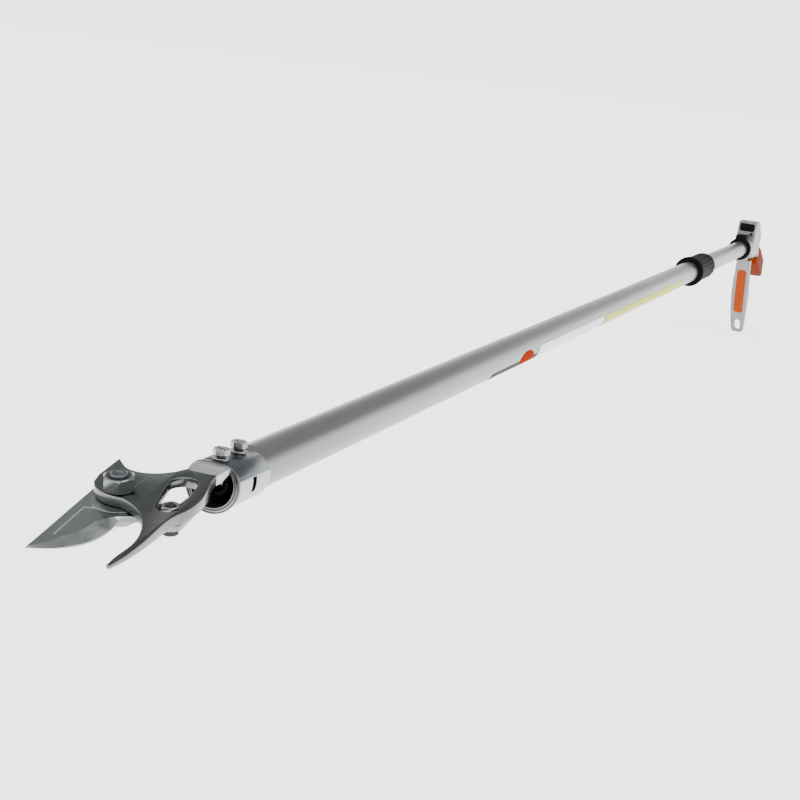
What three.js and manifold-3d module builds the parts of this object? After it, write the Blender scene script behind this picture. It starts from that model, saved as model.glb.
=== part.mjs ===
// Telescoping long-reach pruner: a bypass cutting head on a two-section aluminium pole, worked by a
// hand lever under a pistol grip. Millimetres. +X runs along the pole towards the head, +Z is up, and
// the origin is on the pole axis, in the flat rear face of the handle's end cap.
import * as THREE from "three";
import { mergeVertices } from "three/addons/utils/BufferGeometryUtils.js";
import Module from "manifold-3d";

const wasm = await Module();
wasm.setup();

// ---------------------------------------------------------------- driving dimensions
const GAP = 0.35; // clearance between pieces that touch
const ROUND = 32; // sides of a tube
const SMALL_ROUND = 20; // sides of a pin or a bolt shank

// pole
const OUTER_R = 14; // outer tube, outside
const OUTER_BORE = 13.1;
const INNER_R = 12.75; // inner tube, outside
const INNER_BORE = 11.75;
const POLE_END_X = 2113; // mouth of the outer tube, at the head
const OUTER_REAR_X = 532; // rear end of the outer tube, inside the collar
const INNER_REAR_X = 88; // rear end of the inner tube, inside the handle
const INNER_FRONT_X = 1570; // front end of the inner tube, inside the outer tube

// collar that locks the two tubes
const COLLAR_FRONT_X = 620;
const COLLAR_NUT_FRONT_X = 604;
const COLLAR_REAR_X = 500;
const COLLAR_R = 18.6; // lock nut
const FLANGE_R = 20.6;

// drive rods: a solid front rod slides and locks in a tubular rear rod
const FRONT_ROD_R = 3;
const REAR_ROD_R = 5;
const REAR_ROD_BORE = 3.8;
const FRONT_ROD_REAR_X = 480;
const REAR_ROD_FRONT_X = 1530;
const BALL_X = 2103; // centre of the ball joint between the front rod and the drive link
const BALL_R = 5;

// cutting head: a plate frame (u forward, v sideways, w up) pitched nose-down from the pole
const HEAD_PITCH = THREE.MathUtils.degToRad(9.5);
const HEAD_Z = 12.1; // top face of the plate above the axis, at the pole mouth
const PLATE_T = 6;
const BLADE_T = 4;
const BLADE_TOP = -PLATE_T - 0.4;
const BLADE_BOTTOM = BLADE_TOP - BLADE_T;
const PIVOT = [55, -28]; // blade pivot, u and v
const PIVOT_BOLT_R = 4.8;
const PIVOT_HOLE_R = PIVOT_BOLT_R + 0.4;
const PIVOT_NUT_FLATS = 16;
const PIVOT_NUT_T = 8;
const LINK_PIN = [56, 3.3]; // drive pin on the blade's tail, u and v
const LINK_TOP = BLADE_BOTTOM - 0.8;
const LINK_T = 3;
const LINK_PIN_R = 2.8;
const LINK_EYE_R = 4.2; // loose on the pin, because the link swings a little as the blade turns

const NOSE_TAPER_U = 78; // where the hook starts to thin towards its nose
const NOSE_U = 136;
const NOSE_T = 1.8;

// saddle clamp on the pole end, with a flattened crown
const CLAMP_R = 14.3;
const CLAMP_T = 1.9;
const CROWN_Z = 12.8; // top of the flat
const CROWN_UNDER_Z = CROWN_Z - CLAMP_T;
const SHOULDER = [[14.6, 7], [12.6, 10], [10, 12], [6.6, CROWN_Z]]; // y and z, up one side
const SADDLE_LENGTH = 40;
const SADDLE_EDGE = THREE.MathUtils.degToRad(14); // where the saddle stops, above the horizontal
const CLAMP_BOLT_X = [POLE_END_X - 8.5, POLE_END_X - 31];

// handle
const LEVER_PIVOT = [62, 31]; // x and z
const LEVER_HUB_R = 8;
const ROD_PIN = [72, 0]; // x and z
const CLEVIS_PIN_R = 3;
const ARM_HALF_WIDTH = 4.5;
const BODY_HALF_WIDTH = 15.5;
const BODY_WALL = 3;
const SOCKET_R = 17.5;
const SOCKET_FRONT_X = 131;
const RING_FRONT_X = 141;
const LEVER_HALF_WIDTH = 13.75;
const GRIP_HALF_WIDTH = 13.5;
const TANG_HALF_WIDTH = 7.5;

// ---------------------------------------------------------------- materials
const finish = (color, roughness, metalness) =>
  new THREE.MeshStandardMaterial({ color, roughness, metalness });

const aluminium = finish(0xb9bbbb, 0.35, 0.9);
const castAluminium = finish(0xb4b6b4, 0.5, 0.8);
const darkSteel = finish(0x4b5150, 0.35, 0.9);
const brightSteel = finish(0xb8bcba, 0.25, 1);
const bladeSteel = finish(0x8b9290, 0.3, 1);
const blackPlastic = finish(0x1c1c1d, 0.55, 0);
const whiteNylon = finish(0xd9d8d0, 0.6, 0);
const orangePlastic = finish(0xc85a28, 0.55, 0);
const whiteLabel = finish(0xe6e8e6, 0.5, 0);
const yellowLabel = finish(0xd6dc4a, 0.5, 0);
const darkLabel = finish(0x4a3e3a, 0.5, 0);

// ---------------------------------------------------------------- solids and booleans
function solidOf(geometry) {
  const bare = geometry.clone();
  bare.deleteAttribute("normal");
  bare.deleteAttribute("uv");
  const merged = mergeVertices(bare, 1e-4);
  const triVerts = new Uint32Array(merged.index.array);
  const vertProperties = new Float32Array(merged.attributes.position.array);
  return new wasm.Manifold(new wasm.Mesh({ numProp: 3, vertProperties, triVerts }));
}

function geometryOf(solid) {
  const mesh = solid.getMesh();
  const geometry = new THREE.BufferGeometry();
  geometry.setAttribute("position", new THREE.BufferAttribute(new Float32Array(mesh.vertProperties), 3));
  geometry.setIndex(new THREE.BufferAttribute(new Uint32Array(mesh.triVerts), 1));
  geometry.computeVertexNormals();
  return geometry;
}

const join = (first, ...others) =>
  geometryOf(others.reduce((sum, other) => sum.add(solidOf(other)), solidOf(first)));
const cut = (first, ...others) =>
  geometryOf(others.reduce((sum, other) => sum.subtract(solidOf(other)), solidOf(first)));
const common = (first, ...others) =>
  geometryOf(others.reduce((sum, other) => sum.intersect(solidOf(other)), solidOf(first)));

// ---------------------------------------------------------------- shape helpers
const AXIS_X = new THREE.Vector3(1, 0, 0);
const AXIS_Y = new THREE.Vector3(0, 1, 0);
const AXIS_Z = new THREE.Vector3(0, 0, 1);
const CROSS_SECTION = new THREE.Matrix4().makeBasis(AXIS_Y, AXIS_Z, AXIS_X); // drawn in y, z
const SIDE_VIEW = new THREE.Matrix4().makeBasis(AXIS_X, AXIS_Z, AXIS_Y.clone().negate()); // x, z

// A closed profile of [radius, x] corners turned round the X axis: inside first, then along the outside.
function turned(profile, sides = ROUND) {
  const points = [...profile, profile[0]].map(([radius, x]) => new THREE.Vector2(radius, x));
  return new THREE.LatheGeometry(points, sides).rotateZ(-Math.PI / 2);
}

const tube = (inner, outer, x0, x1, sides = ROUND) =>
  turned([[inner, x0], [outer, x0], [outer, x1], [inner, x1]], sides);

// A solid cylinder along X, Y or Z between two stations of that axis.
function rod(axis, radius, from, to, sides = SMALL_ROUND) {
  const geometry = new THREE.CylinderGeometry(radius, radius, to - from, sides);
  geometry.translate(0, (from + to) / 2, 0);
  if (axis === "x") geometry.rotateZ(-Math.PI / 2);
  if (axis === "z") geometry.rotateX(Math.PI / 2);
  return geometry;
}

function box(x0, x1, y0, y1, z0, z1) {
  const geometry = new THREE.BoxGeometry(x1 - x0, y1 - y0, z1 - z0);
  return geometry.translate((x0 + x1) / 2, (y0 + y1) / 2, (z0 + z1) / 2);
}

// A shape drawn in u, v and raised from w0 to w1.
function raised(shape, w0, w1, curveSegments = 6) {
  const settings = { depth: w1 - w0, bevelEnabled: false, curveSegments };
  return new THREE.ExtrudeGeometry(shape, settings).translate(0, 0, w0);
}

// A shape drawn in y, z and carried along X.
const section = (shape, x0, x1, curveSegments = 6) =>
  raised(shape, x0, x1, curveSegments).applyMatrix4(CROSS_SECTION);

// A shape drawn in x, z and carried across Y, with an optional bevel on both faces.
function sideways(shape, halfWidth, bevel = 0, curveSegments = 6, bevelSegments = 2) {
  const geometry = new THREE.ExtrudeGeometry(shape, {
    depth: 2 * (halfWidth - bevel),
    bevelEnabled: bevel > 0,
    bevelSize: bevel,
    bevelThickness: bevel,
    bevelOffset: -bevel,
    bevelSegments,
    curveSegments,
  });
  return geometry.translate(0, 0, -(halfWidth - bevel)).applyMatrix4(SIDE_VIEW);
}

// A closed outline through corners, straight from each to the next.
function polygon(corners) {
  return new THREE.Shape(corners.map(([x, y]) => new THREE.Vector2(x, y)));
}

const spline = (path, corners) => path.splineThru(corners.map(([x, y]) => new THREE.Vector2(x, y)));

// The outline round two circles, centre and radius each.
function pill(ax, ay, ar, bx, by, br, Kind = THREE.Shape) {
  const heading = Math.atan2(by - ay, bx - ax);
  const lean = Math.acos((ar - br) / Math.hypot(bx - ax, by - ay));
  const path = new Kind();
  path.absarc(bx, by, br, heading - lean, heading + lean, false);
  path.absarc(ax, ay, ar, heading + lean, heading + 2 * Math.PI - lean, false);
  path.closePath();
  return path;
}

function circle(x, y, radius, Kind = THREE.Shape) {
  const path = new Kind();
  path.absarc(x, y, radius, 0, 2 * Math.PI, false);
  return path;
}

// Part of a ring between two angles.
function arcBand(inner, outer, from, to) {
  const shape = new THREE.Shape();
  shape.absarc(0, 0, outer, from, to, false);
  shape.absarc(0, 0, inner, to, from, true);
  shape.closePath();
  return shape;
}

// A rounded rectangle centred on x, y.
function roundedBox(x, y, halfX, halfY, corner) {
  const shape = new THREE.Shape();
  shape.absarc(x + halfX - corner, y + halfY - corner, corner, 0, Math.PI / 2, false);
  shape.absarc(x - halfX + corner, y + halfY - corner, corner, Math.PI / 2, Math.PI, false);
  shape.absarc(x - halfX + corner, y - halfY + corner, corner, Math.PI, 1.5 * Math.PI, false);
  shape.absarc(x + halfX - corner, y - halfY + corner, corner, 1.5 * Math.PI, 2 * Math.PI, false);
  shape.closePath();
  return shape;
}

// A hexagonal nut or bolt head from w0 to w1, measured across flats, with an optional bore.
function hexagon(acrossFlats, w0, w1, bore = 0) {
  const shape = new THREE.Shape();
  const corner = acrossFlats / Math.sqrt(3);
  for (let side = 0; side < 6; side += 1) {
    const angle = ((side + 0.5) * Math.PI) / 3;
    const [x, y] = [corner * Math.cos(angle), corner * Math.sin(angle)];
    if (side === 0) shape.moveTo(x, y);
    else shape.lineTo(x, y);
  }
  shape.closePath();
  if (bore > 0) shape.holes.push(circle(0, 0, bore, THREE.Path));
  return raised(shape, w0, w1, 8);
}

// ---------------------------------------------------------------- the scene graph
const pruner = new THREE.Group();
const head = new THREE.Group();
head.position.set(POLE_END_X, 0, HEAD_Z);
head.rotation.y = HEAD_PITCH;
pruner.add(head);
head.updateMatrixWorld(true);

function add(name, geometry, material, group = pruner) {
  const mesh = new THREE.Mesh(geometry, material);
  mesh.name = name;
  group.add(mesh);
  return mesh;
}

// ---------------------------------------------------------------- cutting head
function plateOutline() {
  const outline = new THREE.Shape();
  outline.moveTo(10, -8.4);
  // back edge, out to the horn
  spline(outline, [[18.7, -13.4], [24.5, -19], [28, -26], [28.8, -33], [26.5, -40], [17.7, -49]]);
  outline.lineTo(42, -47.8);
  // rounded front corner, then the throat and the inner edge of the hook
  spline(outline, [[51.5, -45.4], [58, -40.5], [62, -34], [63.4, -27], [64, -20.5], [68.4, -12.6],
    [75.6, -4.2], [85, 2.6], [98, 8], [110, 10.2], [124, 9.8], [134.3, 10.5]]);
  outline.lineTo(134.8, 12.6);
  // outer edge, back to the neck
  spline(outline, [[122, 14.2], [106, 14.4], [92, 13.6], [79, 12.9], [70, 13.6], [62, 15.7],
    [53, 16.6], [44, 15.9], [34, 13.5], [22, 10], [10, 8.4]]);
  outline.closePath();
  outline.holes.push(pill(31.5, -2.2, 8, 61, 4.5, 6.7, THREE.Path));
  outline.holes.push(circle(...PIVOT, PIVOT_HOLE_R, THREE.Path));
  return outline;
}

// The outside of the saddle seen along the pole, from one foot over the crown to the other.
function saddleOutside(outerR) {
  const [footY, footZ] = [outerR * Math.cos(SADDLE_EDGE), outerR * Math.sin(SADDLE_EDGE)];
  const farSide = SHOULDER.map(([y, z]) => [-y, z]).reverse();
  const shape = new THREE.Shape();
  shape.moveTo(footY, footZ);
  spline(shape, SHOULDER);
  shape.lineTo(...farSide[0]);
  spline(shape, [...farSide.slice(1), [-footY, footZ]]);
  return shape;
}

function saddleSection() {
  const shape = saddleOutside(CLAMP_R + CLAMP_T);
  const flat = Math.asin(CROWN_UNDER_Z / CLAMP_R);
  shape.absarc(0, 0, CLAMP_R, Math.PI - SADDLE_EDGE, Math.PI - flat, true);
  shape.absarc(0, 0, CLAMP_R, flat, SADDLE_EDGE, true);
  shape.closePath();
  return shape;
}

// The neck is drawn from the side: it runs from the flat of the saddle down to the plate.
function neck() {
  const x = POLE_END_X;
  const profile = new THREE.Shape();
  profile.moveTo(x + 15.5, HEAD_Z - 2.7);
  spline(profile, [[x + 9, HEAD_Z - 1.2], [x + 4, CROWN_Z - 0.4], [x, CROWN_Z - 0.02]]);
  profile.lineTo(x - 3, CROWN_Z - 0.02);
  profile.lineTo(x - 3, CROWN_UNDER_Z);
  profile.lineTo(x + GAP, CROWN_UNDER_Z);
  profile.lineTo(x + 9, HEAD_Z - 1.2 - PLATE_T);
  profile.lineTo(x + 14.5, HEAD_Z - 2.5 - PLATE_T);
  profile.closePath();
  const body = sideways(profile, 11);
  const outside = saddleOutside(CLAMP_R + CLAMP_T - 0.02);
  outside.closePath();
  const round = section(outside, x - 3, x + 20);
  const plan = raised(polygon([[x - 4, -11], [x + 3, -11], [x + 16, -8.4], [x + 16, 8.4],
    [x + 3, 11], [x - 4, 11]]), 0, 30);
  return common(body, round, plan);
}

const boltAt = (x, radius, z0, z1) => rod("z", radius, z0, z1).translate(x, 0, 0);

function hookPlate() {
  const under = -PLATE_T - 2;
  const taper = polygon([[NOSE_TAPER_U, -PLATE_T], [NOSE_TAPER_U, under], [NOSE_U, under], [NOSE_U, -NOSE_T]]);
  const plate = cut(raised(plateOutline(), -PLATE_T, 0), sideways(taper, 60));
  plate.applyMatrix4(head.matrixWorld);
  const saddle = section(saddleSection(), POLE_END_X - SADDLE_LENGTH, POLE_END_X);
  const holes = CLAMP_BOLT_X.map((x) => boltAt(x, 2.9, 5, 30));
  return cut(join(plate, neck(), saddle), ...holes);
}

// Slot through the sleeve and the tube, low on one side.
const clampSlot = () => box(POLE_END_X - 27.4, POLE_END_X - 20, 10, 20, -5.4, 3.3);

function clampSleeve() {
  const edge = SADDLE_EDGE - 0.03;
  const band = arcBand(CLAMP_R, CLAMP_R + CLAMP_T - 0.2, Math.PI - edge, 2 * Math.PI + edge);
  const sleeve = section(band, POLE_END_X - SADDLE_LENGTH - 4, POLE_END_X, 14);
  return cut(sleeve, clampSlot(),
    rod("z", 2, -20, -10).translate(POLE_END_X - 12, 0, 0),
    rod("z", 2, -20, -10).translate(POLE_END_X - 34, 0, 0));
}

// Nut plate in the window cut in the tube's crown, under the saddle.
function clampBlock() {
  const half = 8.6;
  const bottom = 8.4;
  const round = OUTER_BORE - GAP;
  const from = Math.acos(half / round);
  const to = Math.asin((CROWN_UNDER_Z - GAP) / round);
  const shape = new THREE.Shape();
  shape.moveTo(-half, bottom);
  shape.lineTo(half, bottom);
  shape.absarc(0, 0, round, from, to, false);
  shape.absarc(0, 0, round, Math.PI - to, Math.PI - from, false);
  shape.closePath();
  const block = section(shape, POLE_END_X - SADDLE_LENGTH, POLE_END_X - 2);
  return cut(block, ...CLAMP_BOLT_X.map((x) => boltAt(x, 2.85, 5, 20)));
}

function clampBolt() {
  const seat = CROWN_Z + 1.7;
  const bolt = join(hexagon(8.6, seat + 1.2, seat + 5.4), rod("z", 2.5, 8.8, seat + 2));
  return cut(bolt, rod("z", 1.7, seat + 3.6, seat + 8, 6));
}

function clampWasher() {
  const z = CROWN_Z + GAP;
  const shape = circle(0, 0, 5);
  shape.holes.push(circle(0, 0, 2.9, THREE.Path));
  return raised(shape, z, z + 1, 10);
}

// The blade and its tail are one plate; the bevel is ground from the top face along the edge.
function cuttingBlade() {
  const outline = new THREE.Shape();
  outline.moveTo(124, -41.5);
  spline(outline, [[117, -29.5], [107, -21.6], [95, -17.4], [83, -16.4], [71.5, -18.2]]);
  spline(outline, [[67.5, -11], [64.6, -3], [64, 3.3]]);
  outline.absarc(...LINK_PIN, 8, 0, Math.PI, false);
  spline(outline, [[46, -6], [41.5, -18], [39.6, -30], [41.5, -41], [46, -49]]);
  outline.closePath();
  outline.holes.push(circle(...PIVOT, PIVOT_HOLE_R, THREE.Path));
  outline.holes.push(circle(...LINK_PIN, LINK_PIN_R + 0.5, THREE.Path));
  return raised(outline, BLADE_BOTTOM, BLADE_TOP);
}

const atPivot = (geometry) => geometry.translate(...PIVOT, 0);
const atLinkPin = (geometry) => geometry.translate(...LINK_PIN, 0);

function washer(inner, outer, w0, w1) {
  const shape = circle(0, 0, outer);
  shape.holes.push(circle(0, 0, inner, THREE.Path));
  return raised(shape, w0, w1, 12);
}

add("hook_plate", hookPlate(), darkSteel);
add("clamp_sleeve", clampSleeve(), aluminium);
add("clamp_block", clampBlock(), brightSteel);
["front", "rear"].forEach((place, index) => {
  add(`clamp_bolt_${place}`, clampBolt(), brightSteel).position.x = CLAMP_BOLT_X[index];
  add(`clamp_washer_${place}`, clampWasher(), brightSteel).position.x = CLAMP_BOLT_X[index];
  const rivet = join(rod("z", 3.2, -18.2, -16.6), rod("z", 1.6, -17, -14.4));
  add(`sleeve_rivet_${place}`, rivet, brightSteel).position.x = POLE_END_X - 12 - 22 * index;
});

add("cutting_blade", cuttingBlade(), bladeSteel, head);
const washerTop = BLADE_BOTTOM - GAP;
const washerBottom = washerTop - 1.2;
const pivotWasher = washer(PIVOT_HOLE_R, 9.5, washerBottom, washerTop);
add("pivot_washer", atPivot(pivotWasher), brightSteel, head);
const headTop = washerBottom - GAP;
const pivotShank = rod("z", PIVOT_BOLT_R, headTop - 1, PIVOT_NUT_T + 1.6);
const pivotBolt = join(hexagon(PIVOT_NUT_FLATS, headTop - 6, headTop), pivotShank);
add("pivot_bolt", atPivot(pivotBolt), brightSteel, head);
const pivotNut = hexagon(PIVOT_NUT_FLATS, GAP, PIVOT_NUT_T + GAP, PIVOT_HOLE_R);
add("pivot_nut", atPivot(pivotNut), brightSteel, head);

const pinHeadTop = LINK_TOP - LINK_T - 0.9;
const pinShank = rod("z", LINK_PIN_R, pinHeadTop - 1, -1);
const linkBolt = join(hexagon(8.6, pinHeadTop - 3, pinHeadTop), pinShank);
add("link_bolt", atLinkPin(linkBolt), brightSteel, head);
const linkNut = hexagon(10, BLADE_TOP + GAP, BLADE_TOP + 4.8, LINK_PIN_R + 0.4);
add("link_nut", atLinkPin(linkNut), brightSteel, head);

// ---------------------------------------------------------------- drive link and rods
// The link's own frame has its ball at the origin, its eye along +X and its flat faces across Z.
function placeLink(mesh) {
  const pin = new THREE.Vector3(...LINK_PIN, LINK_TOP - LINK_T / 2).applyMatrix4(head.matrixWorld);
  const ball = new THREE.Vector3(BALL_X, 0, 0);
  const along = pin.clone().sub(ball);
  const length = along.length();
  along.normalize();
  const up = AXIS_Z.clone().transformDirection(head.matrixWorld);
  const across = up.cross(along).normalize();
  const facing = along.clone().cross(across);
  mesh.quaternion.setFromRotationMatrix(new THREE.Matrix4().makeBasis(along, across, facing));
  mesh.position.copy(ball);
  return length;
}

function driveLink(length) {
  const strap = pill(17, 0, 4.5, length, 0, LINK_EYE_R + 2.8);
  strap.holes.push(circle(length, 0, LINK_EYE_R, THREE.Path));
  const ball = new THREE.SphereGeometry(BALL_R, 16, 10);
  return join(raised(strap, -LINK_T / 2, LINK_T / 2, 8), ball, rod("x", 2.4, 1, 20, 12));
}

const linkMesh = new THREE.Mesh(new THREE.BufferGeometry(), brightSteel);
linkMesh.name = "drive_link";
linkMesh.geometry = driveLink(placeLink(linkMesh));
pruner.add(linkMesh);

function ballSocket() {
  const body = turned([[3.4, 2087], [6, 2087], [8, 2091], [8, 2105], [7, 2107], [3.4, 2107]]);
  const cavity = new THREE.SphereGeometry(BALL_R + 0.5, 20, 12).translate(BALL_X, 0, 0);
  const mouth = rod("x", 4.75, BALL_X, 2110);
  return cut(body, cavity, mouth);
}

add("front_drive_rod", rod("x", FRONT_ROD_R, FRONT_ROD_REAR_X, 2096), brightSteel);
add("rod_ball_socket", ballSocket(), blackPlastic);
add("rear_drive_rod", tube(REAR_ROD_BORE, REAR_ROD_R, 94, REAR_ROD_FRONT_X, 20), aluminium);
const gripperX = REAR_ROD_FRONT_X + GAP;
const gripper = turned([[3.5, gripperX], [8.5, gripperX], [8.5, gripperX + 18], [6, gripperX + 25],
  [3.5, gripperX + 25]], 20);
add("rod_gripper", gripper, brightSteel);

// ---------------------------------------------------------------- pole
const crownWindow = box(POLE_END_X - SADDLE_LENGTH - 0.5, POLE_END_X + 1, -20, 20, CROWN_UNDER_Z - GAP, 20);
const outerTube = tube(OUTER_BORE, OUTER_R, OUTER_REAR_X, POLE_END_X);
add("outer_tube", cut(outerTube, crownWindow, clampSlot()), aluminium);
add("inner_tube", tube(INNER_BORE, INNER_R, INNER_REAR_X, INNER_FRONT_X), aluminium);
add("front_rod_guide", tube(3.5, OUTER_BORE - GAP, 2030, 2045), whiteNylon);
add("rear_rod_guide", tube(REAR_ROD_R + 0.4, INNER_BORE - GAP, 150, 162), whiteNylon);
const bush = turned([[4, 1556], [INNER_BORE - GAP, 1556], [INNER_BORE - GAP, INNER_FRONT_X + GAP],
  [INNER_R, INNER_FRONT_X + GAP], [INNER_R, 1582], [4, 1582]]);
add("inner_tube_bush", bush, whiteNylon);

// stickers: white, yellow and a dark strip, low on one side of the outer tube
function label(x0, x1, from, to) {
  const radians = THREE.MathUtils.degToRad;
  const band = arcBand(OUTER_R + 0.2, OUTER_R + 0.45, radians(from), radians(to));
  return section(band, x0, x1, 8);
}
add("label_dark", label(1469, 1612, -56, -22), darkLabel);
add("label_white", label(1206, 1467, -68, 6), whiteLabel);
add("label_yellow", label(736, 1195, -68, 4), yellowLabel);

// ---------------------------------------------------------------- lock collar
const sleeveBore = OUTER_R + GAP;
const collarSleeve = turned([[sleeveBore, OUTER_REAR_X], [16, OUTER_REAR_X],
  [16, COLLAR_NUT_FRONT_X + GAP], [17.2, COLLAR_NUT_FRONT_X + GAP], [17.2, COLLAR_FRONT_X - 10],
  [FLANGE_R, COLLAR_FRONT_X - 8], [FLANGE_R, COLLAR_FRONT_X - 1.5], [FLANGE_R - 1.5, COLLAR_FRONT_X],
  [sleeveBore, COLLAR_FRONT_X]]);
add("collar_sleeve", collarSleeve, blackPlastic);
const nutWallX = COLLAR_REAR_X + 3.5;
const nut = turned([[INNER_R + 0.5, COLLAR_REAR_X], [COLLAR_R - 1.4, COLLAR_REAR_X],
  [COLLAR_R, COLLAR_REAR_X + 4], [COLLAR_R, COLLAR_NUT_FRONT_X - 3],
  [COLLAR_R - 0.8, COLLAR_NUT_FRONT_X], [16.4, COLLAR_NUT_FRONT_X], [16.4, nutWallX],
  [INNER_R + 0.5, nutWallX]]);
add("collar_nut", nut, blackPlastic);
const collet = tube(INNER_R + GAP, 15.9, nutWallX + 1, OUTER_REAR_X - 1);
add("split_collet", cut(collet, box(nutWallX, OUTER_REAR_X, -1, 1, 5, 20)), whiteNylon);

// ---------------------------------------------------------------- handle body
// The cast body seen from the side: socket, tall pivot block, rear end and the tang under the grip.
function bodyOutline() {
  const outline = new THREE.Shape();
  outline.moveTo(92, 17);
  outline.lineTo(85, 21);
  outline.lineTo(82, 40);
  outline.quadraticCurveTo(81.5, 43, 78, 43);
  outline.lineTo(47, 43);
  outline.quadraticCurveTo(40, 42.5, 34, 38);
  outline.lineTo(16, 26);
  outline.quadraticCurveTo(GAP + 3, 22, GAP + 3, 14);
  outline.lineTo(GAP + 3, -9);
  // tang
  outline.lineTo(-4, -12);
  outline.lineTo(-98, -38);
  outline.lineTo(-102, -53);
  outline.lineTo(-20, -31);
  outline.quadraticCurveTo(-2, -26, 8, -17);
  outline.lineTo(84, -17);
  outline.lineTo(92, -17);
  outline.closePath();
  return outline;
}

const cavityOutline = polygon([[88, -30], [88, 14], [79.5, 20], [75, 39.5], [47, 39.5], [36, 35],
  [18, 23], [7, 15], [7, -8], [14, -30]]);
const BODY_SCREWS = [[13.5, 15], [38.5, 35]]; // x and z of each
const CAP_SCREW = [8.6, 23]; // y and z
const SCREW_BOSS_R = 4.6;
const SCREW_HOLE_R = 2.2;
const SCREW_RECESS_R = 4;
const SCREW_RECESS_Y = 13;
const acrossBody = ([x, z], radius, fromY, sides) => rod("y", radius, fromY, 20, sides).translate(x, 0, z);

function handleBody() {
  const outline = sideways(bodyOutline(), BODY_HALF_WIDTH, 2);
  const tangSlab = box(-110, 3.2, -20, 20, -60, 0);
  const tang = common(sideways(bodyOutline(), TANG_HALF_WIDTH), box(-110, 20, -20, 20, -60, 20));
  const socket = rod("x", SOCKET_R, 80, SOCKET_FRONT_X, 48);
  const shell = join(cut(outline, tangSlab), tang, socket);
  const inside = sideways(cavityOutline, BODY_HALF_WIDTH - BODY_WALL);
  const hollow = cut(inside, ...BODY_SCREWS.map((place) => acrossBody(place, SCREW_BOSS_R, -20, 16)));
  const pocket = section(roundedBox(0, 33, 12 + GAP, 6.2 + GAP, 3), 76, 90);
  return cut(shell, hollow, pocket,
    rod("x", INNER_R + GAP, 84, 140, 48),
    rod("y", 4.4, -20, 20).translate(LEVER_PIVOT[0], 0, LEVER_PIVOT[1]),
    rod("x", 1.9, 70, 95, 12).translate(0, ...CAP_SCREW),
    ...BODY_SCREWS.map((place) => acrossBody(place, SCREW_HOLE_R, -11, 12)),
    ...BODY_SCREWS.map((place) => acrossBody(place, SCREW_RECESS_R, SCREW_RECESS_Y, 16)));
}

const bodySolid = handleBody();
const SPLIT = 0.15;
add("handle_body_left", cut(bodySolid, box(-200, 200, -40, SPLIT, -100, 100)), castAluminium);
add("handle_body_right", cut(bodySolid, box(-200, 200, -SPLIT, 40, -100, 100)), castAluminium);

const endCap = section(roundedBox(0, 5.4, 13.5, 10.2, 5), 0, 3);
add("body_end_cap", endCap, blackPlastic);
BODY_SCREWS.forEach(([x, z], index) => {
  const headBase = SCREW_RECESS_Y + 0.3;
  const screw = join(rod("y", SCREW_RECESS_R - 0.5, headBase, 15.2, 16), rod("y", 1.8, -9, 14, 12));
  const driven = cut(screw, rod("y", 1.4, 14.3, 18, 6));
  add(`body_screw_${index + 1}`, driven, darkSteel).position.set(x, 0, z);
});
add("front_cap", section(roundedBox(0, 33, 12, 6.2, 2.6), 76.4, 83), blackPlastic);
const capScrew = join(rod("x", 2.6, 86.2, 88, 16), rod("x", 1.5, 74, 87, 12));
add("cap_screw", capScrew.translate(0, ...CAP_SCREW), darkSteel);

// black ring that closes the socket on the tube, with its clamp boss on top
const RING_R = 18.4;
const RING_SCREW_X = 136;
const BOSS_HALF_WIDTH = 9;
function socketRing() {
  const rear = SOCKET_FRONT_X + GAP;
  const ring = tube(INNER_R + GAP, RING_R, rear, RING_FRONT_X, 40);
  const bossOutline = roundedBox(RING_FRONT_X - 17, 18.5, 17, 4.2, 2);
  const aboveSocket = box(90, RING_FRONT_X, -20, 20, SOCKET_R + 0.4, 40);
  const boss = common(sideways(bossOutline, BOSS_HALF_WIDTH, 1), aboveSocket);
  const web = cut(box(rear, RING_FRONT_X, -BOSS_HALF_WIDTH, BOSS_HALF_WIDTH, 13, 20),
    rod("x", INNER_R + GAP + 1, 130, 142, 40));
  return cut(join(ring, boss, web),
    rod("z", 1.9, 13, 30, 12).translate(RING_SCREW_X, 0, 0),
    rod("z", 3.5, 20.5, 30, 16).translate(RING_SCREW_X, 0, 0));
}
add("socket_ring", socketRing(), blackPlastic);
const ringScrewBody = join(rod("z", 3.1, 20.9, 22.3, 16), rod("z", 1.5, 14.2, 21.5, 12));
const ringScrew = cut(ringScrewBody, rod("z", 1.3, 21.5, 24, 6));
add("ring_screw", ringScrew.translate(RING_SCREW_X, 0, 0), darkSteel);

// ---------------------------------------------------------------- rear grip
function gripOutline() {
  const outline = new THREE.Shape();
  outline.moveTo(-4, -7);
  spline(outline, [[-18, -5.6], [-40, -7.5], [-74, -19.5], [-102, -30]]);
  outline.quadraticCurveTo(-110, -33.5, -110.5, -41);
  outline.lineTo(-112, -57);
  outline.quadraticCurveTo(-112, -65.5, -104, -65);
  spline(outline, [[-70, -53.5], [-40, -44], [-18, -37.5]]);
  outline.quadraticCurveTo(-6, -33.5, -4, -25);
  outline.closePath();
  return outline;
}

function tangSpace() {
  const around = polygon([[4, -8.4], [-4.1, -11.5], [-98.4, -37.6], [-102.5, -53.4], [-20, -31.6],
    [-3.8, -26.6], [4, -22]]);
  return sideways(around, TANG_HALF_WIDTH + GAP);
}

const gripBody = sideways(gripOutline(), GRIP_HALF_WIDTH, 4.5, 4, 4);
add("rear_grip", cut(gripBody, tangSpace()), orangePlastic);

// ---------------------------------------------------------------- lever
const [pivotX, pivotZ] = LEVER_PIVOT;
const leverPin = rod("y", 4, -15.2, 15.2).translate(pivotX, 0, pivotZ);
add("lever_pivot_pin", leverPin, brightSteel);

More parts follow.
